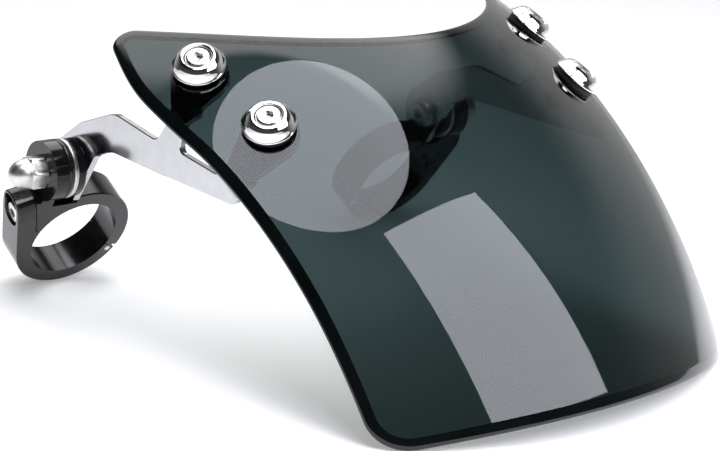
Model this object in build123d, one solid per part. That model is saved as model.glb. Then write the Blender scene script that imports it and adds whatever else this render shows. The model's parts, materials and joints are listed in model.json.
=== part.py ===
from build123d import *
import math
import os

# Windshield screen for a motorcycle: a double-curved tinted panel on two steel brackets,
# each carried by a hinged clamp that closes round a fork tube.
# Millimetres. The panel is drawn in a bench frame: +X across the screen to the rider's
# right, +Y towards the headlight cut-out, +Z out of the convex face, with the origin on
# the convex face at the middle of the cut-out. At the end the whole assembly is tipped
# until it rests on both clamp rings and both front corners of the panel.

# ---- panel ----
PANEL_T = 3.5               # sheet thickness
CROWN_BEND = 0.249 / 84.5   # fore-and-aft bend at the cut-out, radians per mm
CROWN_TIGHTEN = 0.016 / 84.5 ** 2   # how much that bend grows along the panel
SIDE_R = 185.0              # cross-wise bend radius at the cut-out
SIDE_R_DROP = 0.2942        # how much that radius falls for each mm along the panel
SIDE_EASE = 0.242 / 3 / 84.5 ** 2   # flattening of the cross-wise bend near the sides
HALF_WIDTHS = [(-80, 104.0), (-55, 113.0), (-30, 118.1), (-5, 117.1), (25, 112.8),
               (60, 109.4), (100, 106.7), (145, 104.8), (190, 102.8)]   # along the panel, arc half width
CUTOUT_DEPTH = -1.0         # cut-out edge on the centre line
CUTOUT_CURVE = 44.3 / 84.5 ** 2
CUTOUT_FLARE = 0.78 / 84.5 ** 4
FRONT_END = 177.4           # front edge on the centre line
FRONT_CURVE = 5.39 / 84.5 ** 2
FRONT_CORNER_R = 19.0
EAR_TIP_R = 8.0

# ---- screen fasteners: arc position across, position along ----
SCREW_PLACES = {"rear": (92.4, -21.7), "front": (85.4, 21.5)}
SCREW_R = 3.0               # M6
PANEL_HOLE_R = 4.5
PAD_R = 11.5
RUBBER_R = 9.6
RUBBER_T = 2.8              # rubber between panel and bracket, nominal
CUP_R = 10.8
CUP_TOP_R = 7.0
CUP_H = 5.6
SCREEN_HEAD_R = 5.25
SCREEN_HEAD_H = 3.3
NUT_FLATS = 10.0            # M6
NUT_H = 5.0

# ---- bracket ----
PLATE_T = 3.0
PLATE_OUTER_X = 101.4       # outer face of the upright plate
PLATE_EDGE = 0.35           # chamfer round the upright plate
BEND_INNER_R = 3.0
ARM_SPREAD = 42.0           # reach of the pads from the bend, before trimming
SHEET_REACH = 90.0          # half length of the folded sheet, before trimming
REAR_NECK = (4.2, 15.4)     # finger edges along the bend
FRONT_NECK = (-35.4, -24.6)

# ---- pivot ----
PIVOT_Y = 63.5
PIVOT_Z = -103.8
PIVOT_R = 4.0               # M8
BLACK_WASHER_T = 3.6
STEEL_WASHER_T = 2.0
SPACER_T = 2.9
DISC_R = 12.9
LEG_END_R = 14.5            # round end of the bracket's leg about the pivot
LUG_T = 6.0
RUNNING_GAP = 0.05

# ---- fork clamp ----
BORE_R = 20.5               # 41 mm fork tube
RING_R = 27.0
RING_W = 15.0
CLAMP_EDGE = 0.5            # chamfer on the clamp's long outer edges
RING_X = 92.1               # ring centre from the middle of the screen
RING_DROP = 38.0            # ring centre below the pivot
RING_TIP = 5.2              # tilt of the ring's axis from the bench frame's Y, degrees
SPLIT_ANGLE = -23.0         # the two halves part on this diameter
HINGE_R = 23.8
HINGE_ANGLE = -28.5         # the hinge pin sits a little below the parting line
KNUCKLE_R = 2.9
KNUCKLE_GAP = 0.35
PIN_R = 1.25
LEG_T = 8.6                 # thickness of the jaw's upright leg
LEG_ABOVE_SCREW = 12.0
CLAMP_SCREW_TILT = 14.7     # clamp screw's axis above horizontal, degrees
CLAMP_SCREW_OFFSET = 21.9   # its distance from the ring's centre
CLAMP_HEAD_R = 5.0
CLAMP_HEAD_H = 4.0
SEAT_T = 3.6                # metal under the screw head
SLOT_RISE = 5.6             # how far the head's pocket runs upward
THREAD_END = -10.0          # end of the tapped hole, along the screw's axis
POCKET_FLOOR = 23.0         # relief in the ring's top for the bracket's round end
POCKET_GAP = 0.7            # between that relief's wall and the bracket
TAB_R = 7.2                 # round top of the jaw's leg


def screen_row(t):
    """Centre-line point, outward normal angle and cross-wise radius at distance t along."""
    steps = 24
    y = 0.0
    z = 0.0
    for i in range(steps):
        mid = (i + 0.5) / steps * t
        bend = CROWN_BEND * mid + CROWN_TIGHTEN * mid ** 2
        y -= math.cos(bend) * t / steps
        z -= math.sin(bend) * t / steps
    bend = CROWN_BEND * t + CROWN_TIGHTEN * t ** 2
    return Vector(0, y, z), bend, SIDE_R - SIDE_R_DROP * t


def screen_point(a, t, depth=0.0):
    """Point of the panel at arc a across and t along, depth below the convex face."""
    centre, bend, radius = screen_row(t)
    steps = 24
    x = 0.0
    drop = 0.0
    for i in range(steps):
        mid = (i + 0.5) / steps * a
        turn = mid / radius * (1 - SIDE_EASE * mid ** 2)
        x += math.cos(turn) * a / steps
        drop -= math.sin(turn) * a / steps
    turn = a / radius * (1 - SIDE_EASE * a ** 2)
    x -= math.sin(turn) * depth
    drop -= math.cos(turn) * depth
    return centre + Vector(x, -math.sin(bend) * drop, math.cos(bend) * drop)


def screen_normal(a, t):
    across = screen_point(a + 0.5, t) - screen_point(a - 0.5, t)
    along = screen_point(a, t - 0.5) - screen_point(a, t + 0.5)
    return across.cross(along).normalized()


def cutout_edge(a):
    return CUTOUT_DEPTH - CUTOUT_CURVE * a ** 2 + CUTOUT_FLARE * a ** 4


def front_edge(a):
    return FRONT_END - FRONT_CURVE * a ** 2


def half_width(t):
    """Arc half width at t, on a smooth curve through the stations."""
    last = len(HALF_WIDTHS) - 1
    k = 0
    while k < last - 1 and t > HALF_WIDTHS[k + 1][0]:
        k += 1
    slopes = []
    for i in (k, k + 1):
        before = HALF_WIDTHS[max(i - 1, 0)]
        after = HALF_WIDTHS[min(i + 1, last)]
        slopes.append((after[1] - before[1]) / (after[0] - before[0]))
    t_0, w_0 = HALF_WIDTHS[k]
    t_1, w_1 = HALF_WIDTHS[k + 1]
    span = t_1 - t_0
    s = (t - t_0) / span
    return ((1 + 2 * s) * (1 - s) ** 2 * w_0 + s * (1 - s) ** 2 * span * slopes[0]
            + s ** 2 * (3 - 2 * s) * w_1 + s ** 2 * (s - 1) * span * slopes[1])


def tangent_plane(a, t, depth=0.0):
    """Plane on the panel with z outward and x pointing away from the centre line."""
    side = math.copysign(1.0, a)
    across = (screen_point(a + 0.5, t) - screen_point(a - 0.5, t)) * side
    return Plane(screen_point(a, t, depth), x_dir=across, z_dir=screen_normal(a, t))


def panel_section(t):
    """Closed outline of the sheet across the panel at t."""
    reach = half_width(t)
    places = [reach * i / 6 for i in range(-6, 7)]
    outer = [screen_point(a, t) for a in places]
    inner = [screen_point(a, t, PANEL_T) for a in places]
    return Wire([Spline(*outer), Line(outer[-1], inner[-1]),
                 Spline(*reversed(inner)), Line(inner[0], outer[0])])


def cutout_cutter():
    reach = 128.0
    places = [reach * i / 8 for i in range(-8, 9)]
    edge = []
    for a in places:
        point = screen_point(a, cutout_edge(a))
        edge.append(Vector(point.X, point.Y, 0))
    far = Spline(*edge)
    back = Polyline(edge[-1], (edge[-1].X, 140, 0), (edge[0].X, 140, 0), edge[0])
    return extrude(Plane.XY.offset(-120) * make_face([far, back]), 160)


def front_cutter():
    """Everything beyond the front edge, cut along the sheet's normal there."""
    centre, bend, _ = screen_row(FRONT_END)
    level = Plane(centre, x_dir=(1, 0, 0), z_dir=(0, -math.sin(bend), math.cos(bend)))
    reach = 112.0
    edge = []
    for i in range(-4, 5):
        a = reach * i / 4
        point = level.to_local_coords(screen_point(a, front_edge(a)))
        edge.append(Vector(point.X, point.Y, 0))
    far = Spline(*edge)
    back = Polyline(edge[-1], (edge[-1].X, -60, 0), (edge[0].X, -60, 0), edge[0])
    return extrude(level.offset(-90) * make_face([far, back]), 120)


def corner_cutter(side, t, radius, forward):
    """Waste outside a rounded corner, standing on the panel's tangent plane."""
    a = side * half_width(t)
    corner = tangent_plane(a, t, PANEL_T / 2)
    edge_t = front_edge if forward else cutout_edge
    along_edge = screen_point(a, edge_t(a)) - screen_point(a * 0.93, edge_t(a * 0.93))
    ahead = 1.0 if forward else -1.0
    side_dir = screen_point(side * half_width(t - ahead * 6), t - ahead * 6) - screen_point(a, t)
    u = corner.to_local_coords(corner.origin - along_edge.normalized()).normalized()
    v = corner.to_local_coords(corner.origin + side_dir.normalized()).normalized()
    u = Vector(u.X, u.Y, 0).normalized()
    v = Vector(v.X, v.Y, 0).normalized()
    half_angle = math.acos(u.dot(v)) / 2
    reach = radius / math.tan(half_angle)
    bisector = (u + v).normalized()
    start = u * reach
    end = v * reach
    crown = bisector * (radius / math.sin(half_angle) - radius)
    rounded = ThreePointArc(start, crown, end)
    waste = Polyline(end, v * reach * 0.98 - u * 12, (u + v) * -12, u * reach * 0.98 - v * 12, start)
    return extrude(corner.offset(-14) * make_face([rounded, waste]), 28)


def corner_t(edge_t):
    """Where along the panel an end edge meets the side edge."""
    t = edge_t(105.0)
    for _ in range(20):
        t = edge_t(half_width(t))
    return t


def screw_planes(side):
    """Pad plane of one side and the two screw axes, z outward."""
    rear = SCREW_PLACES["rear"]
    front = SCREW_PLACES["front"]
    rear_point = screen_point(side * rear[0], rear[1])
    front_point = screen_point(side * front[0], front[1])
    line = (rear_point - front_point).normalized()
    mean = (screen_normal(side * rear[0], rear[1]) + screen_normal(side * front[0], front[1]))
    normal = (mean - line * mean.dot(line)).normalized()
    return {"rear": Plane(rear_point, x_dir=line, z_dir=normal),
            "front": Plane(front_point, x_dir=line, z_dir=normal)}


def make_panel():
    panel = Solid.make_loft([panel_section(t) for t, _ in HALF_WIDTHS])
    panel -= cutout_cutter()
    panel -= front_cutter()
    front_t = corner_t(front_edge)
    ear_t = corner_t(cutout_edge)
    for side in (-1, 1):
        panel -= corner_cutter(side, front_t, FRONT_CORNER_R, True)
        panel -= corner_cutter(side, ear_t, EAR_TIP_R, False)
        for plane in screw_planes(side).values():
            panel -= plane * Cylinder(PANEL_HOLE_R, 30)
    return panel


def folded_sheet(pad_top, bend_y):
    """The bracket's bent sheet before trimming: upright plate, bend and sloping pad."""
    lie = pad_top.z_dir.cross(Vector(1, 0, 0)).normalized()
    if lie.Y < 0:
        lie = lie * -1
    fall = pad_top.z_dir
    at_plate = (-PLATE_OUTER_X - pad_top.origin.X) * fall.X + (bend_y - pad_top.origin.Y) * fall.Y
    corner = Vector(-PLATE_OUTER_X, bend_y, pad_top.origin.Z - at_plate / fall.Z)
    frame = Plane(corner, x_dir=(1, 0, 0), z_dir=lie * -1)
    rise = frame.to_local_coords(corner + lie.cross(fall) * -1)
    if rise.X < 0:
        rise = rise * -1
    slope = math.atan2(rise.Y, rise.X)
    foot = -95.0
    tip = Vector(math.cos(slope), math.sin(slope), 0) * ARM_SPREAD
    inner_bend = Vector(PLATE_T, PLATE_T * (math.sin(slope) - 1) / math.cos(slope), 0)
    inner_tip = tip + Vector(math.sin(slope), -math.cos(slope), 0) * PLATE_T
    outer = FilletPolyline((0, foot), (0, 0), tip, radius=BEND_INNER_R + PLATE_T)
    inner = FilletPolyline(inner_tip, inner_bend, (PLATE_T, foot), radius=BEND_INNER_R)
    profile = make_face([outer, Line(tip, inner_tip), inner, Line((PLATE_T, foot), (0, foot))])
    return extrude(frame * profile, SHEET_REACH, both=True)


def plate_outline():
    """Upright plate seen from the side, bench Y and Z, with its arm, notch and slot."""
    corners = [((78.0, -125.0), 0.5), ((78.0, -101.0), 9.0), ((66.6, -82.4), 28.0),
               ((47.2, -62.6), 16.0), ((17.6, -53.4), 4.2), ((REAR_NECK[1] - 0.6, -42.0), 2.0),
               ((REAR_NECK[1], -26.0), 0.5), ((REAR_NECK[0], -26.0), 0.5), ((REAR_NECK[0], -41.0), 3.0),
               ((2.6, -47.4), 2.4), ((-21.0, -39.4), 3.0), ((FRONT_NECK[1], -34.0), 1.0),
               ((FRONT_NECK[1], -26.0), 0.5), ((FRONT_NECK[0], -26.0), 0.5), ((-36.8, -42.8), 6.0),
               ((7.4, -63.2), 60.0), ((41.5, -78.4), 15.0), ((50.4, -88.0), 6.0), ((57.2, -125.0), 0.5)]
    points = [point for point, _ in corners]
    radii = [radius for _, radius in corners]
    blank = make_face(FilletPolyline(*points, radius=radii, close=True))
    round_end = Pos(PIVOT_Y, PIVOT_Z) * (Pos(0, -20) * Rectangle(50, 40) - Circle(LEG_END_R))
    return blank - round_end


def pad_outline(pad_top, hole_plane, neck):
    """One finger's round-ended pad, as a face on the pad plane."""
    hole = pad_top.to_local_coords(hole_plane.origin)
    hole = Vector(hole.X, hole.Y, 0)
    roots = []
    for y in neck:
        root = pad_top.to_local_coords(Vector(-PLATE_OUTER_X, y, pad_top.origin.Z - 8))
        roots.append(Vector(root.X, root.Y, 0))
    base = make_hull(Line(roots[0], roots[1]).edges()
                     + (Pos(hole) * CenterArc((0, 0), PAD_R, 0, 360)).edges())
    return base


def make_bracket():
    planes = screw_planes(-1)
    middle = (planes["rear"].origin + planes["front"].origin) / 2
    normal = planes["rear"].z_dir
    pad_top = Plane(middle - normal * (PANEL_T + RUBBER_T), x_dir=planes["rear"].x_dir, z_dir=normal)
    sheet = folded_sheet(pad_top, 0.0)
    plate_zone = extrude(Plane.YZ.offset(-PLATE_OUTER_X - 1) * plate_outline(), PLATE_T + 5.5)
    pads = None
    for name, neck in (("rear", REAR_NECK), ("front", FRONT_NECK)):
        outline = pad_outline(pad_top, planes[name], neck)
        pad = extrude(pad_top.offset(-9) * outline, 12)
        pads = pad if pads is None else pads + pad
    bracket = sheet & (plate_zone + pads)
    for plane in planes.values():
        bracket -= plane * Cylinder(SCREW_R + 0.3, 40)
    bracket -= Pos(-PLATE_OUTER_X, PIVOT_Y, PIVOT_Z) * Rot(0, 90, 0) * Cylinder(PIVOT_R + 0.2, 20)
    for face_x in (-PLATE_OUTER_X, PLATE_T - PLATE_OUTER_X):
        rims = []
        for edge in bracket.edges():
            ends = edge.vertices() + [Vertex(edge @ 0.5)]
            if all(abs(v.X - face_x) < 0.001 for v in ends):
                rims.append(edge)
        bracket = chamfer(rims, PLATE_EDGE)
    return bracket


def turned(profile_points, plane):
    """Solid of revolution about the plane's normal from radius and height pairs."""
    outline = [Vector(r, 0, h) for r, h in profile_points]
    face = make_face(Polyline(*outline, close=True))
    return plane * revolve(face, Axis.Z)


def chamfered_disc(radius, hole, low, high, plane, edge=0.5):
    return turned([(hole, low), (radius - edge, low), (radius, low + edge), (radius, high - edge),
                   (radius - edge, high), (hole, high)], plane)


def hex_prism(flats, height, base):
    hexagon = RegularPolygon(flats / 2, 6, major_radius=False)
    return extrude(Pos(0, 0, base) * hexagon, height)


def screen_fasteners(plane, panel):
    """Cup washer, screw, two rubbers and nut of one screen fixing, on its own axis."""
    lift = 1.4
    cup = turned([(SCREW_R + 0.3, lift), (CUP_R - 0.5, lift), (CUP_R, lift + 0.5),
                  (CUP_R, lift + 1.0), (CUP_R - 0.5, lift + 1.5), (CUP_TOP_R + 0.3, CUP_H + lift - 0.5),
                  (CUP_TOP_R - 0.2, CUP_H + lift), (SCREEN_HEAD_R + 0.6, CUP_H + lift),
                  (SCREEN_HEAD_R + 0.25, CUP_H + lift - 0.4), (SCREEN_HEAD_R + 0.25, lift + 2.4),
                  (SCREW_R + 0.3, lift + 2.4)], plane)
    seat = lift + 2.4
    top = seat + SCREEN_HEAD_H
    pad_level = -(PANEL_T + RUBBER_T)
    below = pad_level - PLATE_T
    head_r = SCREEN_HEAD_R
    screw = turned([(0, seat), (head_r, seat), (head_r, top - 0.9), (head_r - 0.9, top),
                    (0, top)], plane)
    screw -= plane * hex_prism(4.0, 2.2, top - 2.0)
    screw += plane * Pos(0, 0, (seat + below - NUT_H - 1.5) / 2) * Cylinder(
        SCREW_R, seat - below + NUT_H + 1.5)
    outer = chamfered_disc(RUBBER_R, SCREW_R, -PANEL_T / 2, lift, plane, 0.3) - panel
    outer = outer.solids().sort_by_distance(plane.origin + plane.z_dir * lift)[0]
    inner = chamfered_disc(RUBBER_R, SCREW_R, pad_level, -PANEL_T / 2, plane, 0.3) - panel
    inner = inner.solids().sort_by_distance(plane.origin + plane.z_dir * pad_level)[0]
    nut = plane * (hex_prism(NUT_FLATS, NUT_H, below - NUT_H) - Cylinder(SCREW_R, 60))
    nut = nut & turned([(0, below), (5.2, below), (5.9, below - 0.4), (5.9, below - NUT_H + 0.4),
                        (5.2, below - NUT_H), (0, below - NUT_H)], plane)
    return {"cup_washer": cup, "screen_screw": screw, "outer_rubber": outer,
            "inner_rubber": inner, "screen_nut": nut}


def pivot_stack():
    """Bolt, washers, spacer and dome nut on the left pivot, outward is -X."""
    axis = Plane((-PLATE_OUTER_X, PIVOT_Y, PIVOT_Z), x_dir=(0, 1, 0), z_dir=(-1, 0, 0))
    hole = PIVOT_R
    h1 = BLACK_WASHER_T
    h2 = h1 + STEEL_WASHER_T
    h3 = h2 + SPACER_T
    h4 = h3 + LUG_T
    head = turned([(0, -PLATE_T - 4.4), (4.6, -PLATE_T - 4.4), (6.4, -PLATE_T - 3.2),
                   (7.0, -PLATE_T - 1.0), (7.0, -PLATE_T), (0, -PLATE_T)], axis)
    head -= axis * hex_prism(5.0, 2.6, -PLATE_T - 4.5)
    shank = axis * Pos(0, 0, (h4 + 9.0 - PLATE_T) / 2) * Cylinder(PIVOT_R, h4 + 9.0 + PLATE_T)
    dome = turned([(0, h4), (6.6, h4), (7.4, h4 + 0.5), (7.4, h4 + 6.0), (6.5, h4 + 7.0),
                   (6.3, h4 + 7.3), (6.2, h4 + 9.0), (5.7, h4 + 11.2), (4.6, h4 + 13.2),
                   (3.0, h4 + 14.5), (1.4, h4 + 15.0), (0, h4 + 15.1)], axis)
    flats = axis * (hex_prism(13.0, 7.4, h4) + Pos(0, 0, h4 + 11) * Cylinder(6.35, 9))
    dome = (dome & flats) - axis * Pos(0, 0, h4 + 4.5) * Cylinder(PIVOT_R, 9.0)
    return {"pivot_bolt": head + shank,
            "pivot_black_washer": chamfered_disc(DISC_R - 0.6, hole, 0, h1, axis, 0.2),
            "pivot_steel_washer": chamfered_disc(DISC_R - 0.2, hole, h1, h2, axis, 0.4),
            "pivot_spacer": chamfered_disc(DISC_R - 0.1, hole, h2, h3, axis, 0.9),
            "pivot_dome_nut": dome}


def ring_plane():
    """Left clamp ring's own plane: x as the bench, y up the ring, z along its axis."""
    tip = math.radians(RING_TIP)
    axis = Vector(0, math.cos(tip), math.sin(tip))
    up = Vector(0, -math.sin(tip), math.cos(tip))
    centre = Vector(-RING_X, PIVOT_Y, PIVOT_Z) - up * RING_DROP
    return Plane(centre, x_dir=(1, 0, 0), z_dir=axis * -1)


def polar(radius, degrees):
    return Vector(radius * math.cos(math.radians(degrees)), radius * math.sin(math.radians(degrees)))


def slab(face, width=RING_W, offset=0.0):
    """Flat shape on the ring's plane, given the ring's width and centred on it."""
    return extrude(Pos(0, 0, offset - width / 2) * face, width)


def half_ring(start, sweep):
    """Ring wall between two angles."""
    outer = CenterArc((0, 0), RING_R, start, sweep)
    inner = CenterArc((0, 0), BORE_R, start, sweep)
    return make_face([outer, inner, Line(outer @ 0, inner @ 0), Line(outer @ 1, inner @ 1)])


def screw_axis_plane():
    """Clamp screw's axis on the ring's plane: origin at the parting face, z into the body."""
    tilt = math.radians(CLAMP_SCREW_TILT)
    along = Vector(math.cos(tilt), math.sin(tilt), 0)
    across = Vector(-math.sin(tilt), math.cos(tilt), 0)
    parting = -(RING_R - LEG_T)
    return Plane(across * CLAMP_SCREW_OFFSET + along * parting, x_dir=(0, 0, 1), z_dir=along), parting


def hinge_round(radius, width, offset):
    return Pos(*polar(HINGE_R, HINGE_ANGLE)) * Pos(0, 0, offset) * Cylinder(radius, width)


def hinge_link(radius, width):
    """Ring wall between the parting line and the hinge, ending round about the pin."""
    link = slab(half_ring(HINGE_ANGLE, SPLIT_ANGLE - HINGE_ANGLE + 3), width)
    return (link + hinge_round(radius, width, 0)) - Cylinder(BORE_R, RING_W)


def parting_notch():
    """Open V between the two halves at the ring's outer side."""
    tip = polar(BORE_R + 1.5, SPLIT_ANGLE)
    return slab(make_face(Polyline(tip, polar(RING_R + 3, SPLIT_ANGLE + 3.6),
                                   polar(RING_R + 3, SPLIT_ANGLE - 3.2), close=True)), RING_W + 2)


def soften_outline(part):
    """Chamfers the long edges of both flat faces of a clamp half, but not the bore's."""
    half = RING_W / 2
    long_edges = []
    for edge in part.edges():
        ends = edge.vertices() + [Vertex(edge @ 0.5)]
        on_face = all(abs(abs(v.Z) - half) < 0.001 for v in ends)
        middle = edge @ 0.5
        if on_face and edge.length > 10 and math.hypot(middle.X, middle.Y) > BORE_R + 1:
            long_edges.append(edge)
    return chamfer(long_edges, CLAMP_EDGE)


def make_clamp_body():
    ring = half_ring(SPLIT_ANGLE + 0.6, 179)
    screw, parting = screw_axis_plane()
    along = screw.z_dir
    across = Vector(-along.Y, along.X, 0)
    low = along * parting + across * math.sqrt(23.1 ** 2 - parting ** 2)
    high = along * parting + across * (CLAMP_SCREW_OFFSET + 9.5)
    plate_x = RING_X - PLATE_OUTER_X
    lug_right = plate_x - BLACK_WASHER_T - STEEL_WASHER_T - SPACER_T
    lug_left = lug_right - LUG_T
    block = make_face(Polyline(low, high, (lug_left, high.Y + 0.4), (lug_left, RING_DROP),
                               (lug_right, RING_DROP), (lug_right, 24.0),
                               polar(BORE_R + 2, 110), polar(BORE_R + 0.5, 140), close=True))
    body = slab(ring) + slab(block)
    far_left = along * (parting - 20)
    waste = make_face(Polyline(low, high + across * 8, far_left + across * 50,
                               far_left, polar(BORE_R - 2, 157), close=True))
    body -= slab(waste, RING_W + 2)
    pocket_left = lug_right
    pocket_right = plate_x + PLATE_T + POCKET_GAP
    pocket_w = pocket_right - pocket_left
    body -= Pos(pocket_left + pocket_w / 2, POCKET_FLOOR + 20, 0) * Box(pocket_w, 40, RING_W + 2)
    body += Pos((lug_left + lug_right) / 2, RING_DROP, 0) * Rot(0, 90, 0) * Cylinder(DISC_R, LUG_T)
    body -= Cylinder(BORE_R, RING_W + 4)
    body -= parting_notch()
    tongue_w = 5.0
    body -= slab(half_ring(HINGE_ANGLE - 20, 20.5 + SPLIT_ANGLE - HINGE_ANGLE), RING_W + 2)
    body += hinge_link(KNUCKLE_R, tongue_w - KNUCKLE_GAP)
    body -= hinge_round(PIN_R, RING_W + 4, 0)
    body -= Pos(lug_left, RING_DROP, 0) * Rot(0, 90, 0) * Cylinder(PIVOT_R + RUNNING_GAP, 30)
    depth = THREAD_END - parting
    body -= screw * Pos(0, 0, depth / 2 - 1) * Cylinder(SCREW_R, depth + 2)
    return soften_outline(body)


def make_clamp_jaw():
    screw, parting = screw_axis_plane()
    along = screw.z_dir
    across = Vector(-along.Y, along.X, 0)
    split_gap = 0.3
    lower = half_ring(SPLIT_ANGLE - 0.6, -178.6)
    foot_in = along * (parting - split_gap) + across * math.sqrt(22.0 ** 2 - parting ** 2)
    root_in = polar(BORE_R + 0.4, 180 + SPLIT_ANGLE + 2)
    head_in = along * (parting - split_gap) + across * (CLAMP_SCREW_OFFSET + LEG_ABOVE_SCREW)
    head_out = head_in - along * (LEG_T - split_gap)
    leg = make_face(Polyline(root_in, foot_in, head_in, head_out, along * -RING_R,
                             polar(BORE_R + 0.4, 200), close=True))
    jaw = slab(lower) + slab(leg)
    jaw -= Cylinder(BORE_R, RING_W + 4)
    top_round = Pos(LEG_ABOVE_SCREW - TAB_R, 0) * CenterArc((0, 0), TAB_R, 0, 360)
    shoulder = Line((0, -RING_W / 2 - 0.1), (0, RING_W / 2 + 0.1))
    tab = make_hull(top_round.edges() + shoulder.edges()) + Pos(-40, 0) * Rectangle(80.5, RING_W + 0.2)
    leg_plane = Plane(screw.origin, x_dir=across, z_dir=along * -1)
    jaw = jaw & extrude(leg_plane.offset(-60) * tab, 80)
    jaw -= parting_notch()
    jaw -= hinge_link(KNUCKLE_R + KNUCKLE_GAP, 5.0 + KNUCKLE_GAP)
    jaw -= hinge_round(PIN_R + RUNNING_GAP, RING_W + 4, 0)
    pocket_r = CLAMP_HEAD_R + 0.5
    pocket = Pos(SLOT_RISE / 2, 0) * SlotCenterToCenter(SLOT_RISE, 2 * pocket_r)
    jaw -= extrude(leg_plane.offset(SEAT_T) * pocket, 20)
    shank_slot = Pos(SLOT_RISE / 2, 0) * SlotCenterToCenter(SLOT_RISE, 2 * (SCREW_R + 0.35))
    jaw -= extrude(leg_plane.offset(-3) * shank_slot, 12)
    return soften_outline(jaw)


def make_clamp_screw():
    screw, parting = screw_axis_plane()
    out = Plane(screw.origin, x_dir=(0, 0, 1), z_dir=screw.z_dir * -1)
    top = SEAT_T + CLAMP_HEAD_H
    shank_r = SCREW_R - RUNNING_GAP
    end = -(THREAD_END - parting - 0.6)
    body = turned([(0, end), (shank_r - 0.5, end), (shank_r, end + 0.5), (shank_r, SEAT_T),
                   (CLAMP_HEAD_R, SEAT_T), (CLAMP_HEAD_R, top - 0.5), (CLAMP_HEAD_R - 0.5, top),
                   (0, top)], out)
    return body - out * hex_prism(4.0, 2.6, top - 2.5)


def make_hinge_pin():
    return hinge_round(PIN_R, RING_W, 0)


# ---- assembly in the bench frame ----
panel = make_panel()
nodes = {"screen_panel": panel}
left = {"bracket": make_bracket()}
for name, solid in pivot_stack().items():
    left[name] = solid
ring = ring_plane()
left["clamp_body"] = ring * make_clamp_body()
left["clamp_jaw"] = ring * make_clamp_jaw()
left["clamp_screw"] = ring * make_clamp_screw()
left["jaw_hinge_pin"] = ring * make_hinge_pin()
for place, plane in screw_planes(-1).items():
    for name, solid in screen_fasteners(plane, panel).items():
        left[name + "_" + place] = solid
for name, solid in left.items():
    nodes["left_" + name] = solid
    nodes["right_" + name] = mirror(solid, about=Plane.YZ)

# ---- tip the assembly onto its resting points and centre it ----
TIP = 25.17
tipped = {name: Rot(TIP, 0, 0) * solid for name, solid in nodes.items()}
box = Compound(children=[Compound(s.solids()) for s in tipped.values()]).bounding_box()
shift = Pos(-(box.min.X + box.max.X) / 2, -(box.min.Y + box.max.Y) / 2, -box.min.Z)
os.makedirs("parts", exist_ok=True)
for name, solid in tipped.items():
    placed = shift * solid
    export_step(placed, "parts/" + name + ".step")
print("box", box.min, box.max)
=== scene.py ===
import json
import math

import bpy
import numpy as np
from mathutils import Matrix, Vector
from mathutils.geometry import delaunay_2d_cdt


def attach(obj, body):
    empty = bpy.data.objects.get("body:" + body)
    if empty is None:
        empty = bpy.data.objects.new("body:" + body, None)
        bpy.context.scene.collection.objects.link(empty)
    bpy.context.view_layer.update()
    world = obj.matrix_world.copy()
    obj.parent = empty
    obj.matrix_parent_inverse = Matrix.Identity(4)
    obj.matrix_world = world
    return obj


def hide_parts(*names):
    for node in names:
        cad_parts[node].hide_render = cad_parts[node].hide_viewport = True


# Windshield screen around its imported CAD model. The tinted panel is rebuilt as a smooth mesh with
# a rolled rim, and the round fasteners as finely turned pieces. The brackets, clamps, hinge pins,
# rubbers and panel nuts keep their CAD shapes and get their materials here.
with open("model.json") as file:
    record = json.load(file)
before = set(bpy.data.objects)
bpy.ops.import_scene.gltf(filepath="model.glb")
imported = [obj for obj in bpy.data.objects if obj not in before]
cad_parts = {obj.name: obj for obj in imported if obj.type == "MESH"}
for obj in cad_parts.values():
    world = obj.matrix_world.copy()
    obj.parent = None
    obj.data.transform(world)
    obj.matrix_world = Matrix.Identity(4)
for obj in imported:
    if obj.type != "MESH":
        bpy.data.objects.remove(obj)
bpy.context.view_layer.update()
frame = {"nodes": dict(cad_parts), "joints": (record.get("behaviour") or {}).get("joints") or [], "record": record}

# The sizes below are the CAD model's own, in millimetres on its bench frame: +X to the rider's
# right, +Y towards the headlight cut-out, +Z out of the convex face.
MM = 0.001
TIP = math.radians(25.17)   # turn about X from the bench frame to the way the screen rests

# ---- panel ----
PANEL_T = 3.5
CROWN_BEND = 0.249 / 84.5   # fore-and-aft bend at the cut-out, radians per mm
CROWN_TIGHTEN = 0.016 / 84.5 ** 2
SIDE_R = 185.0              # cross-wise bend radius at the cut-out
SIDE_R_DROP = 0.2942        # how much that radius falls for each mm along the panel
SIDE_EASE = 0.242 / 3 / 84.5 ** 2
HALF_WIDTHS = [(-80, 104.0), (-55, 113.0), (-30, 118.1), (-5, 117.1), (25, 112.8),
               (60, 109.4), (100, 106.7), (145, 104.8), (190, 102.8)]   # along, arc half width
CUTOUT_DEPTH = -1.0
CUTOUT_CURVE = 44.3 / 84.5 ** 2
CUTOUT_FLARE = 0.78 / 84.5 ** 4
FRONT_END = 177.4
FRONT_CURVE = 5.39 / 84.5 ** 2
FRONT_CORNER_R = 19.0
EAR_TIP_R = 8.0
SCREW_PLACES = {"rear": (92.4, -21.7), "front": (85.4, 21.5)}   # arc across, distance along
HOLE_R = 4.5
RIM_W = 4.8
# Rim section: inset from the edge, depth below the convex face, and how far the section's
# normal has turned from the convex face's, in degrees.
RIM = [(RIM_W, 0.0, 0.0), (RIM_W - 0.35, 0.02, 6.0), (3.2, 0.16, 7.0), (1.9, 0.33, 9.0),
       (1.1, 0.50, 18.0), (0.6, 0.74, 34.0), (0.22, 1.12, 58.0), (0.03, 1.5, 82.0),
       (0.0, PANEL_T / 2, 90.0), (0.03, 2.0, 98.0), (0.22, 2.38, 122.0), (0.6, 2.76, 146.0),
       (1.1, 3.0, 160.0), (1.9, 3.2, 170.0), (3.2, 3.36, 173.0), (RIM_W - 0.35, 3.48, 175.0),
       (RIM_W, PANEL_T, 180.0)]

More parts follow.
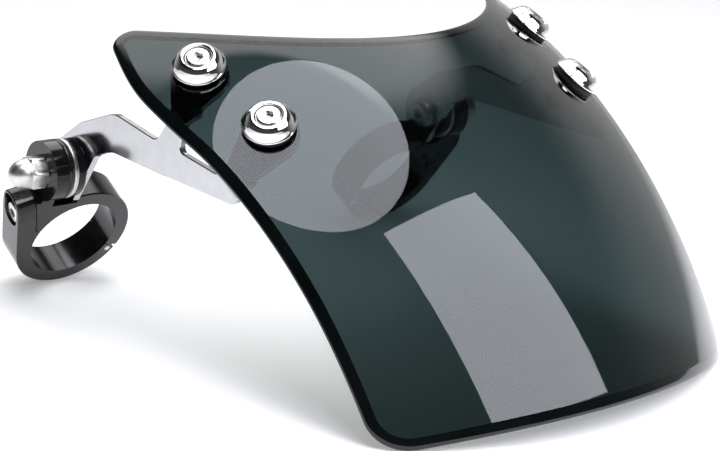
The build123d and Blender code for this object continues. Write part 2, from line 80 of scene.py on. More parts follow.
# ---- how finely the panel is divided ----
ARC_STEPS = 24              # steps along each of the surface's two bends
LINE_STEP = 0.25            # between the points of an edge line before it is trimmed
RIM_STEP = 1.5              # between the rim's points on its long edges
CORNER_STEP = 1.0           # between the rim's points on its round corners
GRID_STEP = 3.0
GRID_HALF_WIDTH = 120.0     # the grid reaches past the panel, and is then cut to it
GRID_START = -100.0
GRID_END = 180.0
GRID_GAP = 1.2              # bare ring between the grid and the rim
HOLE_GAP = 1.4              # bare ring between the grid and a hole
HOLE_SIDES = 32

# ---- screen fasteners: heights are along the screw, from the convex face ----
SCREW_R = 3.0               # M6
CUP_R = 10.8
CUP_H = 5.6
LIFT = 1.4                  # rubber standing above the panel
SEAT = LIFT + 2.4           # where the head sits in its cup
SCREEN_HEAD_R = 5.25
SCREEN_HEAD_H = 3.3
SCREW_END = -15.8
SCREEN_SOCKET_DEPTH = 2.0
M6_SOCKET = 4.0             # hexagon across flats
SOCKET_POINT = 0.4          # cone at the bottom of each socket

# ---- pivot: heights are along the bolt, from the bracket plate's outer face ----
PIVOT = np.array([-101.4, 63.5, -103.8])
PIVOT_R = 4.0               # M8
M8_SOCKET = 5.0
BOLT_SOCKET_DEPTH = 2.5
M8_NUT_FLATS = 13.0
PLATE_T = 3.0
BLACK_WASHER_END = 3.6
STEEL_WASHER_END = 5.6
SPACER_END = 8.5
LUG_END = 14.5
BOLT_HEAD = -PLATE_T - 4.4
BOLT_END = LUG_END + 9.0
DOME_R = 6.3
DOME_H = 7.8
DOME_START = LUG_END + 7.3

# ---- fork clamp's screw: heights are along the screw, outward from the parting face ----
RING_X = 92.1               # ring centre from the middle of the screen
RING_DROP = 38.0            # ring centre below the pivot
RING_TIP = math.radians(5.2)
PARTING = 18.4              # parting face from the ring's centre, along the screw
CLAMP_SCREW_OFFSET = 21.9
CLAMP_SCREW_TILT = math.radians(14.7)
CLAMP_SHANK_R = 2.95
CLAMP_SCREW_END = -7.8
CLAMP_SEAT = 3.6
CLAMP_HEAD_R = 5.0
CLAMP_HEAD_TOP = 7.6
CLAMP_SOCKET_DEPTH = 2.5

SEGMENTS = 96               # round each turned piece
SHARP = math.radians(35)    # an edge that turns more than this stays crisp
RUN_SHARE = 0.42            # a corner's curve takes no more of a straight run than this
HOLD = 1.12                 # how far past its curve a corner's holding point lies


def unit(v):
    """Vectors scaled to length one, along the last axis."""
    return v / np.linalg.norm(v, axis=-1, keepdims=True)


# ---- from the bench frame to the row frame ----
def tipped(p):
    """Bench frame points or directions turned by the resting tip, about X."""
    p = np.asarray(p, float)
    c, s = math.cos(TIP), math.sin(TIP)
    return np.stack([p[..., 0], p[..., 1] * c - p[..., 2] * s, p[..., 1] * s + p[..., 2] * c], -1)


# the left clamp tilts about the pivot, so that joint's place fixes the shift between the frames
tilt_joint = next(j for j in frame["joints"] if j["name"] == "left_clamp_tilt")
SHIFT = np.array(tilt_joint["pos_m"]) / MM - tipped(PIVOT)


def to_row(p):
    """Bench frame points in millimetres as row frame points in metres."""
    return (tipped(p) + SHIFT) * MM


# ---- the panel's surface ----
def surface(a, t, depth=0.0):
    """Bench frame points of the panel at arc a across, t along, depth below the convex face."""
    a = np.asarray(a, float)
    t = np.asarray(t, float)
    y = np.zeros_like(t)
    z = np.zeros_like(t)
    for i in range(ARC_STEPS):
        mid = (i + 0.5) / ARC_STEPS * t
        bend = CROWN_BEND * mid + CROWN_TIGHTEN * mid ** 2
        y -= np.cos(bend) * t / ARC_STEPS
        z -= np.sin(bend) * t / ARC_STEPS
    bend = CROWN_BEND * t + CROWN_TIGHTEN * t ** 2
    radius = SIDE_R - SIDE_R_DROP * t
    x = np.zeros_like(a)
    drop = np.zeros_like(a)
    for i in range(ARC_STEPS):
        mid = (i + 0.5) / ARC_STEPS * a
        turn = mid / radius * (1 - SIDE_EASE * mid ** 2)
        x += np.cos(turn) * a / ARC_STEPS
        drop -= np.sin(turn) * a / ARC_STEPS
    turn = a / radius * (1 - SIDE_EASE * a ** 2)
    x = x - np.sin(turn) * depth
    drop = drop - np.cos(turn) * depth
    return np.stack([x, y - np.sin(bend) * drop, z + np.cos(bend) * drop], -1)


def surface_frame(a, t):
    """Unit across, along and outward normal directions of the convex face."""
    across = surface(a + 0.5, t) - surface(a - 0.5, t)
    along = surface(a, t + 0.5) - surface(a, t - 0.5)
    return unit(across), unit(along), unit(np.cross(along, across))


def half_width(t):
    """Arc half width at t, on a smooth curve through the stations."""
    last = len(HALF_WIDTHS) - 1
    k = 0
    while k < last - 1 and t > HALF_WIDTHS[k + 1][0]:
        k += 1
    slopes = []
    for i in (k, k + 1):
        before = HALF_WIDTHS[max(i - 1, 0)]
        after = HALF_WIDTHS[min(i + 1, last)]
        slopes.append((after[1] - before[1]) / (after[0] - before[0]))
    t_0, w_0 = HALF_WIDTHS[k]
    t_1, w_1 = HALF_WIDTHS[k + 1]
    span = t_1 - t_0
    s = (t - t_0) / span
    return ((1 + 2 * s) * (1 - s) ** 2 * w_0 + s * (1 - s) ** 2 * span * slopes[0]
            + s ** 2 * (3 - 2 * s) * w_1 + s ** 2 * (s - 1) * span * slopes[1])


def cutout_edge(a):
    """Where the headlight cut-out lies along the panel, at arc a across."""
    return CUTOUT_DEPTH - CUTOUT_CURVE * a ** 2 + CUTOUT_FLARE * a ** 4


def front_edge(a):
    """Where the front edge lies along the panel, at arc a across."""
    return FRONT_END - FRONT_CURVE * a ** 2


def corner_t(edge):
    """Distance along at which an end edge meets the sides, by repeated substitution."""
    t = edge(HALF_WIDTHS[0][1])
    for _ in range(20):
        t = edge(half_width(t))
    return t


# ---- the panel's outline on the flat sheet: a across, t along ----
def left_of(travel):
    """Unit normals to the left of directions of travel."""
    return unit(np.stack([-travel[:, 1], travel[:, 0]], -1))


def line_outward(line):
    return left_of(np.gradient(line, axis=0))


def loop_outward(loop):
    return left_of(np.roll(loop, -1, axis=0) - np.roll(loop, 1, axis=0))


def rounded_corner(first, second, radius):
    """Where two lines that meet at a corner are trimmed, and the arc that joins them."""
    in_first = first - line_outward(first) * radius
    in_second = second - line_outward(second) * radius
    gap = np.linalg.norm(in_first[:, None] - in_second[None], axis=2)
    i, j = np.unravel_index(np.argmin(gap), gap.shape)
    centre = (in_first[i] + in_second[j]) / 2
    start = math.atan2(*(first[i] - centre)[::-1])
    end = math.atan2(*(second[j] - centre)[::-1])
    while end > start:
        end -= 2 * math.pi
    steps = max(8, int(radius * (start - end) / CORNER_STEP))
    angles = np.linspace(start, end, steps + 1)[1:-1]
    arc = centre + radius * np.stack([np.cos(angles), np.sin(angles)], -1)
    return i, j, arc


def outline():
    """Closed loop round the panel, clockwise with t upward, so that outward is on its left."""
    front_t = corner_t(front_edge)
    ear_t = corner_t(cutout_edge)
    front_a = np.arange(-half_width(front_t), half_width(front_t), LINE_STEP)
    front = np.stack([front_a, front_edge(front_a)], -1)
    side_t = np.arange(front_t, ear_t, -LINE_STEP)
    right = np.array([[half_width(t), t] for t in side_t])
    cut_a = np.arange(half_width(ear_t), -half_width(ear_t), -LINE_STEP)
    cut = np.stack([cut_a, cutout_edge(cut_a)], -1)
    left = np.array([[-half_width(t), t] for t in side_t[::-1]])
    lines = [front, right, cut, left]
    radii = [FRONT_CORNER_R, EAR_TIP_R, EAR_TIP_R, FRONT_CORNER_R]
    trims = [[0, len(line) - 1] for line in lines]
    arcs = []
    for k in range(4):
        after = (k + 1) % 4
        trims[k][1], trims[after][0], arc = rounded_corner(lines[k], lines[after], radii[k])
        arcs.append(arc)
    loop = []
    for line, (start, end), arc in zip(lines, trims, arcs):
        part = line[start:end + 1]
        count = max(2, int(len(part) * LINE_STEP / RIM_STEP))
        picks = np.linspace(0, len(part) - 1, count + 1).round().astype(int)
        loop += [part[picks], arc]
    return np.vstack(loop)


def inside(points, loop):
    """Which points lie inside a closed loop."""
    x, y = points[:, 0][:, None], points[:, 1][:, None]
    x0, y0 = loop[:, 0][None], loop[:, 1][None]
    x1, y1 = np.roll(loop, -1, axis=0).T
    crosses = ((y0 > y) != (y1[None] > y)) & (
        x < (x1[None] - x0) * (y - y0) / (y1[None] - y0 + 1e-12) + x0)
    return crosses.sum(1) % 2 == 1


def outside_hole(points, hole, radius):
    """Which points are further than the radius from the middle of a hole."""
    return np.linalg.norm(points - hole.mean(0), axis=1) > radius


def hole_loops():
    """The four screw holes, as loops of points on the flat sheet."""
    angles = np.linspace(0, 2 * math.pi, HOLE_SIDES + 1)[:-1]
    circle = HOLE_R * np.stack([np.cos(angles), np.sin(angles)], -1)
    return [np.array([side * a, t]) + circle for side in (-1, 1) for a, t in SCREW_PLACES.values()]


# ---- the panel's mesh ----
def flat_sheet(inner_loop, grid_loop, holes):
    """Points and triangles of the sheet inside its rim; the inner loop's points come first."""
    grid = np.array([[a, t] for a in np.arange(-GRID_HALF_WIDTH, GRID_HALF_WIDTH + 0.1, GRID_STEP)
                     for t in np.arange(GRID_START, GRID_END + 0.1, GRID_STEP)])
    grid = grid[inside(grid, grid_loop)]
    for hole in holes:
        grid = grid[outside_hole(grid, hole, HOLE_R + HOLE_GAP)]
    loops = [inner_loop] + holes
    flat = np.vstack(loops + [grid])
    edges = []
    start = 0
    for ring in loops:
        n = len(ring)
        edges += [(start + i, start + (i + 1) % n) for i in range(n)]
        start += n
    spots = [Vector(p) for p in flat]
    _, _, triangles, sources, _, _ = delaunay_2d_cdt(spots, edges, [], 0, 1e-5)
    order = [source[0] for source in sources]
    faces = np.array([[order[v] for v in triangle] for triangle in triangles])
    # leave out the triangles past the edge, and those that fill a hole
    middles = flat[faces].mean(1)
    keep = inside(middles, inner_loop)
    for hole in holes:
        keep &= outside_hole(middles, hole, HOLE_R * 0.98)
    faces = faces[keep]
    # turn every triangle the same way up
    corner = flat[faces]
    turn = np.cross(corner[:, 1] - corner[:, 0], corner[:, 2] - corner[:, 0])
    faces[turn > 0] = faces[turn > 0][:, ::-1]
    return flat, faces


class Shell:
    """Points, normals and polygons gathered for one mesh."""

    def __init__(self):
        self.points = []
        self.normals = []
        self.polygons = []
        self.count = 0

    def add(self, flat, depth, normals):
        """Adds the panel's points at places on the flat sheet, and gives their indices."""
        self.points.append(to_row(surface(flat[:, 0], flat[:, 1], depth)))
        self.normals.append(tipped(normals))
        self.count += len(flat)
        return range(self.count - len(flat), self.count)

    def join(self, upper, lower):
        """Adds a closed band of quads between two loops of vertices."""
        n = len(upper)
        for i in range(n):
            j = (i + 1) % n
            self.polygons.append((upper[i], lower[i], lower[j], upper[j]))


def make_panel():
    shell = Shell()
    loop = outline()
    out_2d = loop_outward(loop)
    holes = hole_loops()
    flat, faces = flat_sheet(loop - out_2d * RIM_W, loop - out_2d * (RIM_W + GRID_GAP), holes)

    # convex and concave sheets
    _, _, up = surface_frame(flat[:, 0], flat[:, 1])
    convex = shell.add(flat, 0.0, up)
    concave = shell.add(flat, PANEL_T, -up)
    shell.polygons += [[convex[v] for v in face] for face in faces]
    shell.polygons += [[concave[v] for v in face[::-1]] for face in faces]

    # rim, from the convex sheet's edge round to the concave sheet's
    rim_start = len(shell.polygons)
    rows = [convex[:len(loop)]]
    for inset, depth, turned in RIM[1:-1]:
        row = loop - out_2d * inset
        across, along, up = surface_frame(row[:, 0], row[:, 1])
        out = across * out_2d[:, :1] + along * out_2d[:, 1:]
        angle = math.radians(turned)
        rows.append(shell.add(row, depth, up * math.cos(angle) + out * math.sin(angle)))
    rows.append(concave[:len(loop)])
    for upper, lower in zip(rows, rows[1:]):
        shell.join(upper, lower)
    rim_end = len(shell.polygons)

    # screw hole walls, with their own vertices so that the holes stay crisp
    for hole in holes:
        across, along, _ = surface_frame(hole[:, 0], hole[:, 1])
        into = unit(hole.mean(0) - hole)
        wall = across * into[:, :1] + along * into[:, 1:]
        shell.join(shell.add(hole, 0.0, wall), shell.add(hole, PANEL_T, wall))

    mesh = bpy.data.meshes.new("smoke_panel")
    mesh.from_pydata(np.vstack(shell.points).tolist(), [], shell.polygons)
    mesh.materials.append(smoke_plastic())
    mesh.materials.append(painted_shade_rim())
    # the whole rolled rim takes the opaque near-black finish: painted shade for the sheet's dark edge
    painted_shade_slot = 1
    for k in range(rim_start, rim_end):
        mesh.polygons[k].material_index = painted_shade_slot
    mesh.shade_smooth()
    mesh.normals_split_custom_set_from_vertices(np.vstack(shell.normals).tolist())
    mesh.update()
    panel = bpy.data.objects.new("smoke_panel", mesh)
    bpy.context.scene.collection.objects.link(panel)
    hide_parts("screen_panel")
    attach(panel, "screen_frame")


# ---- materials ----
NOISE_LOW = 0.3             # the part of a noise's range that a colour or roughness follows
NOISE_HIGH = 0.7


def new_material(name):
    material = bpy.data.materials.new(name)
    material.use_nodes = True
    tree = material.node_tree
    return material, tree, tree.nodes["Principled BSDF"]


def add_node(tree, kind, **values):
    """New node with its inputs or settings of those names set."""
    node = tree.nodes.new(kind)
    for key, value in values.items():
        if key in node.inputs:
            node.inputs[key].default_value = value
        else:
            setattr(node, key, value)
    return node


def noise(tree, scale, detail, rough=0.5):
    """Noise in the row frame's own coordinates, so that it keeps its real size in metres."""
    where = add_node(tree, "ShaderNodeTexCoord").outputs["Object"]
    texture = add_node(tree, "ShaderNodeTexNoise", Scale=scale, Detail=detail, Roughness=rough)
    tree.links.new(where, texture.inputs["Vector"])
    return texture.outputs["Fac"]


def vary_roughness(tree, shader, source, low, high):
    node = add_node(tree, "ShaderNodeMapRange")
    node.inputs["From Min"].default_value = NOISE_LOW
    node.inputs["From Max"].default_value = NOISE_HIGH
    node.inputs["To Min"].default_value = low
    node.inputs["To Max"].default_value = high
    tree.links.new(source, node.inputs["Value"])
    tree.links.new(node.outputs["Result"], shader.inputs["Roughness"])


def vary_colour(tree, shader, source, low, high):
    node = add_node(tree, "ShaderNodeValToRGB")
    start, end = node.color_ramp.elements
    start.position = NOISE_LOW
    start.color = (*low, 1)
    end.position = NOISE_HIGH
    end.color = (*high, 1)
    tree.links.new(source, node.inputs["Fac"])
    tree.links.new(node.outputs["Color"], shader.inputs["Base Color"])


def bump(tree, shader, source, strength, distance):
    node = add_node(tree, "ShaderNodeBump", Strength=strength, Distance=distance)
    tree.links.new(source, node.inputs["Height"])
    tree.links.new(node.outputs["Normal"], shader.inputs["Normal"])


def metal(name, low, high, rough_low, rough_high, scale, grain):
    """Bare or plated metal with a slightly uneven polish."""
    material, tree, shader = new_material(name)
    shader.inputs["Metallic"].default_value = 1.0
    uneven = noise(tree, scale, 4.0, 0.6)
    vary_colour(tree, shader, uneven, low, high)
    vary_roughness(tree, shader, uneven, rough_low, rough_high)
    bump(tree, shader, noise(tree, scale * 4, 2.0), grain, 0.00004)
    return material


def smoke_plastic():
    """Polished sheet, smoke-tinted right through, with faint polishing haze."""
    material, tree, shader = new_material("smoke_sheet")
    haze = noise(tree, 26.0, 5.0, 0.6)
    vary_colour(tree, shader, haze, (0.97, 0.975, 0.975), (1.0, 1.0, 1.0))
    vary_roughness(tree, shader, haze, 0.012, 0.03)
    shader.inputs["Transmission Weight"].default_value = 1.0
    shader.inputs["IOR"].default_value = 1.49
    smoke = add_node(tree, "ShaderNodeVolumeAbsorption")
    smoke.inputs["Color"].default_value = (0.100, 0.225, 0.232, 1.0)
    smoke.inputs["Density"].default_value = 1000.0
    tree.links.new(smoke.outputs["Volume"], tree.nodes["Material Output"].inputs["Volume"])
    return material


def painted_shade_rim():
    """The panel's rolled rim, made opaque near-black: painted shade for the darkness that the tint and the light
    trapped inside the sheet give its edge.
    """
    material, tree, shader = new_material("painted_shade_rim")
    tone = noise(tree, 60.0, 4.0)
    vary_colour(tree, shader, tone, (0.0015, 0.0025, 0.0026), (0.003, 0.0045, 0.0046))
    vary_roughness(tree, shader, tone, 0.03, 0.07)
    shader.inputs["IOR"].default_value = 1.49
    return material


def black_anodised():
    material, tree, shader = new_material("black_anodised")
    tone = noise(tree, 240.0, 4.0, 0.6)
    vary_colour(tree, shader, tone, (0.005, 0.005, 0.0055), (0.009, 0.009, 0.010))
    vary_roughness(tree, shader, tone, 0.10, 0.16)
    shader.inputs["Specular IOR Level"].default_value = 0.6
    bump(tree, shader, noise(tree, 2600.0, 2.0), 0.05, 0.00002)
    return material


def black_plastic():
    material, tree, shader = new_material("black_plastic")
    tone = noise(tree, 300.0, 3.0)
    vary_colour(tree, shader, tone, (0.008, 0.008, 0.009), (0.014, 0.014, 0.015))
    vary_roughness(tree, shader, tone, 0.12, 0.2)
    return material


def soft_rubber():
    material, tree, shader = new_material("soft_rubber")
    tone = noise(tree, 500.0, 5.0, 0.7)
    vary_colour(tree, shader, tone, (0.010, 0.010, 0.010), (0.022, 0.022, 0.021))
    vary_roughness(tree, shader, tone, 0.5, 0.68)
    bump(tree, shader, noise(tree, 3000.0, 3.0), 0.25, 0.00006)
    return material


# finishes by the record's material slots
FINISH = {
    "bracket_chrome": metal("polished_chrome", (0.51, 0.515, 0.525), (0.57, 0.575, 0.585),
                            0.10, 0.16, scale=160.0, grain=0.02),
    "cup_chrome": metal("cup_chrome", (0.86, 0.86, 0.87), (0.92, 0.92, 0.92),
                        0.025, 0.06, scale=260.0, grain=0.02),
    "bright_screw": metal("bright_zinc", (0.60, 0.59, 0.57), (0.74, 0.73, 0.71),
                          0.16, 0.3, scale=700.0, grain=0.15),
    "plated_steel": metal("nickel_plate", (0.62, 0.60, 0.57), (0.74, 0.72, 0.69),
                          0.30, 0.40, scale=420.0, grain=0.04),
    "black_clamp": black_anodised(),
    "black_plastic": black_plastic(),
    "rubber": soft_rubber()}


def finish_cad_nodes():
    """Gives each CAD node its finish; the panel's slot has none, because its node is replaced."""
    for part in frame["record"]["subparts"]:
        finish = FINISH.get(part["material_slot"])
        if finish:
            for slot in frame["nodes"][part["node"]].material_slots:
                slot.material = finish


# ---- round fasteners, turned more finely than in the CAD model ----
def hexagon_radius(flats, angle):
    """Distance from the axis to the side of a hexagon that wide across its flats."""
    return flats / 2 / math.cos((angle + math.pi / 6) % (math.pi / 3) - math.pi / 6)


def eased(profile, amount):
    """Profile with each of its corners swapped for a short curve.

    A holding point on each side keeps the smooth shading of the curve off the flats."""
    result = [profile[0]]
    for before, corner, after in zip(profile, profile[1:], profile[2:]):
        ends = []
        holds = []
        for other in (before, after):
            run = math.dist(corner, other)
            share = min(amount, RUN_SHARE * run) / run
            ends.append([c + (o - c) * share for c, o in zip(corner, other)])
            holds.append(tuple(c + (o - c) * share * HOLD for c, o in zip(corner, other)))
        result.append(holds[0])
        for s in (0.0, 0.25, 0.5, 0.75, 1.0):
            result.append(tuple((1 - s) ** 2 * e0 + 2 * s * (1 - s) * c + s ** 2 * e1
                                for e0, c, e1 in zip(ends[0], corner, ends[1])))
        result.append(holds[1])
    result.append(profile[-1])
    return result


def turned_piece(name, node, stand, profile, body, slot, tips=None):
    """Smooth turned piece that stands for a CAD node.

    The stand is the piece's origin, its axis and a direction across it. The profile's points
    are (radius, height) from low to high round the outside, and a third value cuts that section
    to a hexagon. Tips are the heights of the two closed ends on the axis; without them the last
    section joins the first, round a hole."""
    origin, axis, across = stand
    axis = unit(axis)
    across = unit(across - axis * across.dot(axis))
    beside = np.cross(axis, across)
    points = []
    for radius, height, *flats in profile:
        for k in range(SEGMENTS):
            angle = 2 * math.pi * k / SEGMENTS
            r = min([radius] + [hexagon_radius(f, angle) for f in flats])
            around = across * math.cos(angle) + beside * math.sin(angle)
            points.append(origin + axis * height + around * r)
    rows = len(profile)
    faces = []
    for row in range(rows - 1 if tips else rows):
        low = row * SEGMENTS
        high = (row + 1) % rows * SEGMENTS
        for k in range(SEGMENTS):
            m = (k + 1) % SEGMENTS
            faces.append((low + k, low + m, high + m, high + k))
    if tips:
        points += [origin + axis * tips[0], origin + axis * tips[1]]
        first = rows * SEGMENTS
        top = (rows - 1) * SEGMENTS
        for k in range(SEGMENTS):
            m = (k + 1) % SEGMENTS
            faces.append((first, m, k))
            faces.append((first + 1, top + k, top + m))
    mesh = bpy.data.meshes.new(name)
    mesh.from_pydata(to_row(np.array(points)).tolist(), [], faces)
    mesh.shade_smooth()
    mesh.set_sharp_from_angle(angle=SHARP)
    mesh.materials.append(FINISH[slot])
    piece = bpy.data.objects.new(name, mesh)
    bpy.context.scene.collection.objects.link(piece)
    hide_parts(node)
    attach(piece, body)


def washer(radius, low, high, edge):
    """Closed profile of a flat ring on the pivot bolt, with eased outer edges."""
    return [(PIVOT_R, low)] + eased(
        [(radius - edge, low), (radius, low + edge), (radius, high - edge),
         (radius - edge, high), (PIVOT_R, high)], edge * 0.9)


def socket(start, end, flats):
    """The two sections of a hexagon socket; the radius only has to clear its corners."""
    clear = 0.65 * flats
    return [(clear, start, flats), (clear, end, flats)]


def cup_profile():
    """Cup washer: foot, flared wall, flat top and the recess for the screw's head."""
    hole = SCREW_R + 0.3
    top = LIFT + CUP_H
    return eased([(hole, LIFT), (CUP_R - 0.5, LIFT), (CUP_R, LIFT + 0.5), (CUP_R, LIFT + 1.0),
                  (CUP_R - 0.5, LIFT + 1.5), (9.35, LIFT + 3.1), (8.35, LIFT + 4.45),
                  (7.3, top - 0.3), (6.8, top), (SCREEN_HEAD_R + 0.6, top),
                  (SCREEN_HEAD_R + 0.25, top - 0.4), (SCREEN_HEAD_R + 0.25, SEAT), (hole, SEAT)],
                 0.5)


def screen_screw_profile():
    """Button-head M6 screw from its end up, then down into its socket."""
    top = SEAT + SCREEN_HEAD_H
    return eased([(SCREW_R - 0.4, SCREW_END), (SCREW_R, SCREW_END + 0.4), (SCREW_R, SEAT),
                  (SCREEN_HEAD_R, SEAT), (SCREEN_HEAD_R, top - 0.9), (SCREEN_HEAD_R - 0.9, top),
                  (3.2, top)], 0.35) + socket(top, top - SCREEN_SOCKET_DEPTH, M6_SOCKET)


def clamp_screw_profile():
    """Low-head M6 screw from its end up, then down into its socket."""
    top = CLAMP_HEAD_TOP
    return eased([(CLAMP_SHANK_R - 0.5, CLAMP_SCREW_END), (CLAMP_SHANK_R, CLAMP_SCREW_END + 0.5),
                  (CLAMP_SHANK_R, CLAMP_SEAT), (CLAMP_HEAD_R, CLAMP_SEAT),
                  (CLAMP_HEAD_R, top - 0.5), (CLAMP_HEAD_R - 0.5, top), (3.2, top)],
                 0.3) + socket(top, top - CLAMP_SOCKET_DEPTH, M6_SOCKET)


def bolt_profile():
    """M8 pivot bolt from its socket's floor, round the head and out along the shank."""
    return socket(BOLT_HEAD + BOLT_SOCKET_DEPTH, BOLT_HEAD, M8_SOCKET) + eased(
        [(PIVOT_R, BOLT_HEAD), (4.6, BOLT_HEAD), (6.4, BOLT_HEAD + 1.2), (7.0, BOLT_HEAD + 3.4),
         (7.0, -PLATE_T), (PIVOT_R, -PLATE_T), (PIVOT_R, BOLT_END)], 0.5)


def dome_nut_profile():
    """M8 dome nut from the end of its thread, out over its six flats and up the dome."""
    turns = [math.radians(5 * k) for k in range(1, 18)]
    dome = [(DOME_R * math.cos(turn), DOME_START + DOME_H * math.sin(turn)) for turn in turns]
    return [(PIVOT_R, BOLT_END), (PIVOT_R, LUG_END), (6.5, LUG_END),
            (6.65, LUG_END, M8_NUT_FLATS), (7.4, LUG_END + 0.5, M8_NUT_FLATS),
            (7.4, LUG_END + 6.0, M8_NUT_FLATS), (6.65, LUG_END + 6.85, M8_NUT_FLATS),
            (6.5, LUG_END + 6.95), (DOME_R, DOME_START)] + dome


def screen_screw_stand(side, where):
    """Origin, outward axis and cross direction of one of the panel's screws."""
    spots = {}
    normals = []
    for word, (a, t) in SCREW_PLACES.items():
        spots[word] = surface(side * a, t)
        normals.append(surface_frame(side * a, t)[2])
    line = unit(spots["rear"] - spots["front"])
    mean = sum(normals) / len(normals)
    return spots[where], unit(mean - line * mean.dot(line)), line


def clamp_screw_stand(mirror):
    """Origin, outward axis and cross direction of a clamp's screw."""
    cross = np.array([1.0, 0.0, 0.0])
    up = np.array([0.0, -math.sin(RING_TIP), math.cos(RING_TIP)])
    centre = np.array([-RING_X, PIVOT[1], PIVOT[2]]) - up * RING_DROP
    inward = cross * math.cos(CLAMP_SCREW_TILT) + up * math.sin(CLAMP_SCREW_TILT)
    beside = up * math.cos(CLAMP_SCREW_TILT) - cross * math.sin(CLAMP_SCREW_TILT)
    origin = centre + beside * CLAMP_SCREW_OFFSET - inward * PARTING
    return origin * mirror, -inward * mirror, beside * mirror


def make_fasteners(side, word):
    """The turned pieces of one side: -1 for the left, 1 for the right."""
    mirror = np.array([-side, 1.0, 1.0])
    screen_tips = (SCREW_END, SEAT + SCREEN_HEAD_H - SCREEN_SOCKET_DEPTH - SOCKET_POINT)
    bolt_tips = (BOLT_HEAD + BOLT_SOCKET_DEPTH + SOCKET_POINT, BOLT_END)
    clamp_tips = (CLAMP_SCREW_END, CLAMP_HEAD_TOP - CLAMP_SOCKET_DEPTH - SOCKET_POINT)
    for where in SCREW_PLACES:
        stand = screen_screw_stand(side, where)
        turned_piece(f"{word}_cup_{where}", f"{word}_cup_washer_{where}", stand, cup_profile(),
                     "screen_frame", "cup_chrome")
        turned_piece(f"{word}_screw_{where}", f"{word}_screen_screw_{where}", stand,
                     screen_screw_profile(), "screen_frame", "bright_screw", screen_tips)
    stand = (PIVOT * mirror, np.array([float(side), 0.0, 0.0]), np.array([0.0, 1.0, 0.0]))
    for part, profile, slot, tips in (
            ("bolt", bolt_profile(), "plated_steel", bolt_tips),
            ("dome_nut", dome_nut_profile(), "plated_steel", (BOLT_END, DOME_START + DOME_H)),
            ("black_washer", washer(12.3, 0.0, BLACK_WASHER_END, 0.25), "black_plastic", None),
            ("steel_washer", washer(12.7, BLACK_WASHER_END, STEEL_WASHER_END, 0.4),
             "plated_steel", None),
            ("spacer", washer(12.8, STEEL_WASHER_END, SPACER_END, 0.9), "black_plastic", None)):
        turned_piece(f"{word}_turned_{part}", f"{word}_pivot_{part}", stand, profile,
                     "screen_frame", slot, tips)
    turned_piece(f"{word}_turned_clamp_screw", f"{word}_clamp_screw", clamp_screw_stand(mirror),
                 clamp_screw_profile(), f"{word}_clamp_screw", "bright_screw", clamp_tips)


finish_cad_nodes()
make_panel()
make_fasteners(-1, "left")
make_fasteners(1, "right")


# ---- stage, in metres ----
FLOOR_RINGS = [0.3, 0.8, 2.0, 5.0, 12.0]
FLOOR_SECTORS = 64
FLOOR_GLOW = 0.24
COOL = (0.96, 0.98, 1.06)


def pale_paper():
    material, tree, shader = new_material("pale_paper")
    vary_colour(tree, shader, noise(tree, 3.0, 2.0), (0.93, 0.93, 0.93), (0.95, 0.95, 0.95))
    shader.inputs["Roughness"].default_value = 0.9
    shader.inputs["Specular IOR Level"].default_value = 0.1
    shader.inputs["Emission Color"].default_value = (1.0, 1.0, 1.0, 1.0)
    shader.inputs["Emission Strength"].default_value = FLOOR_GLOW
    return material


def make_floor():
    """Wide pale disc, finely divided only near the middle."""
    verts = [(0, 0, 0)]
    for radius in FLOOR_RINGS:
        for k in range(FLOOR_SECTORS):
            angle = 2 * math.pi * k / FLOOR_SECTORS
            verts.append((radius * math.cos(angle), radius * math.sin(angle), 0))
    faces = [(0, 1 + k, 1 + (k + 1) % FLOOR_SECTORS) for k in range(FLOOR_SECTORS)]
    for ring in range(len(FLOOR_RINGS) - 1):
        near = 1 + ring * FLOOR_SECTORS
        far = near + FLOOR_SECTORS
        for k in range(FLOOR_SECTORS):
            m = (k + 1) % FLOOR_SECTORS
            faces.append((near + k, far + k, far + m, near + m))
    mesh = bpy.data.meshes.new("floor")
    mesh.from_pydata(verts, [], faces)
    mesh.materials.append(pale_paper())
    floor = bpy.data.objects.new("floor", mesh)
    bpy.context.scene.collection.objects.link(floor)


def place(thing, x_dir, y_dir, centre):
    """Puts a lamp or camera at the centre, with its width and height along two directions."""
    x = Vector(x_dir).normalized()
    y = Vector(y_dir)
    y = (y - x * x.dot(y)).normalized()
    turn = Matrix((x, y, x.cross(y))).transposed()
    thing.matrix_world = Matrix.Translation(centre) @ turn.to_4x4()


def soft_light(name, shape, size, power, centre, x_dir, y_dir):
    """Soft box that shines away from the cross product of its two directions."""
    light = bpy.data.lights.new(name, "AREA")
    light.shape = shape
    light.size, light.size_y = size
    light.energy = power
    light.color = COOL
    lamp = bpy.data.objects.new(name, light)
    bpy.context.scene.collection.objects.link(lamp)
    place(lamp, x_dir, y_dir, centre)
    lamp.visible_camera = False


def sky_glow(sky, toward, low, high, edge, full):
    """Glow round one direction: low beyond one cosine from its middle, high within the other."""
    direction = add_node(sky, "ShaderNodeTexCoord").outputs["Generated"]
    facing = add_node(sky, "ShaderNodeVectorMath", operation="DOT_PRODUCT")
    facing.inputs[1].default_value = Vector(toward).normalized()
    sky.links.new(direction, facing.inputs[0])
    reach = add_node(sky, "ShaderNodeMapRange", interpolation_type="SMOOTHSTEP")
    reach.inputs["From Min"].default_value = edge
    reach.inputs["From Max"].default_value = full
    reach.inputs["To Min"].default_value = low
    reach.inputs["To Max"].default_value = high
    sky.links.new(facing.outputs["Value"], reach.inputs["Value"])
    return reach.outputs["Result"]


def combined(sky, operation, first, second):
    node = add_node(sky, "ShaderNodeMath", operation=operation)
    sky.links.new(first, node.inputs[0])
    sky.links.new(second, node.inputs[1])
    return node.outputs["Value"]


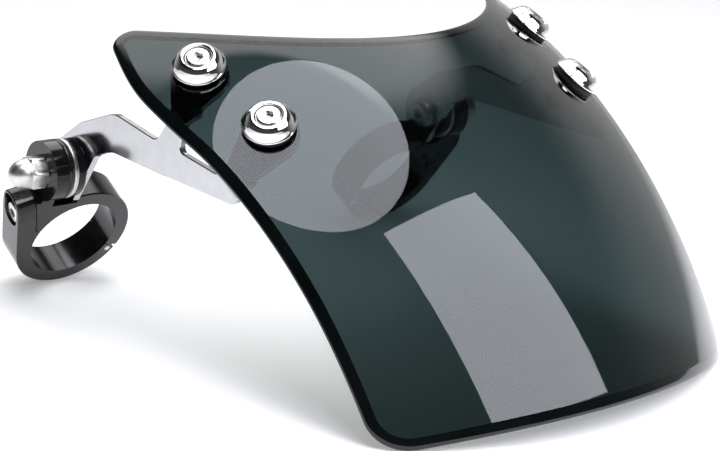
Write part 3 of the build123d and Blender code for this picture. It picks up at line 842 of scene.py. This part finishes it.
def make_world():
    """A dim glow low on the right, and a brighter one behind that stops short of overhead."""
    world = bpy.data.worlds.new("studio")
    bpy.context.scene.world = world
    world.use_nodes = True
    sky = world.node_tree
    up = (0, 0, 1)
    low_right = combined(
        sky, "MULTIPLY",
        sky_glow(sky, (0.72, 0.66, 0.2), low=0.05, high=0.55, edge=-0.16, full=0.96),
        sky_glow(sky, up, low=1.0, high=0.12, edge=0.30, full=0.60))
    behind = combined(
        sky, "MULTIPLY",
        sky_glow(sky, (0.28, 0.485, 0.829), low=0.0, high=2.5, edge=0.85, full=0.92),
        sky_glow(sky, up, low=1.0, high=0.0, edge=0.948, full=0.962))
    background = sky.nodes["Background"]
    sky.links.new(combined(sky, "ADD", low_right, behind), background.inputs["Color"])
    background.inputs["Strength"].default_value = 1.0


make_floor()
soft_light("overhead_octabox", "ELLIPSE", size=(0.735, 0.475), power=4.4,
           centre=(-0.088, -0.10, 0.9), x_dir=(0.85, 0.53, 0.0), y_dir=(-0.53, 0.85, 0.0))
soft_light("front_softbox", "RECTANGLE", size=(0.60, 0.74), power=8.8,
           centre=(0.1285, -0.567, 0.7145), x_dir=(0.978, 0.198, -0.063),
           y_dir=(0.011, 0.356, 0.934))
make_world()

# ---- camera: its place, and its right and back directions, on the bench frame ----
CAMERA_AT = (-520.9, -458.2, 388.5)
CAMERA_RIGHT = (0.770, -0.555, 0.315)
CAMERA_BACK = (-0.620, -0.533, 0.575)


def make_camera():
    data = bpy.data.cameras.new("camera")
    data.lens = 97.28
    data.sensor_width = 36.0
    data.clip_start = 0.01
    data.clip_end = 100.0
    camera = bpy.data.objects.new("camera", data)
    bpy.context.scene.collection.objects.link(camera)
    back = Vector(tipped(CAMERA_BACK)).normalized()
    right = Vector(tipped(CAMERA_RIGHT))
    right = (right - back * right.dot(back)).normalized()
    place(camera, right, back.cross(right), Vector(to_row(CAMERA_AT)))
    bpy.context.scene.camera = camera
    bpy.context.scene.view_settings.view_transform = "Standard"


make_camera()
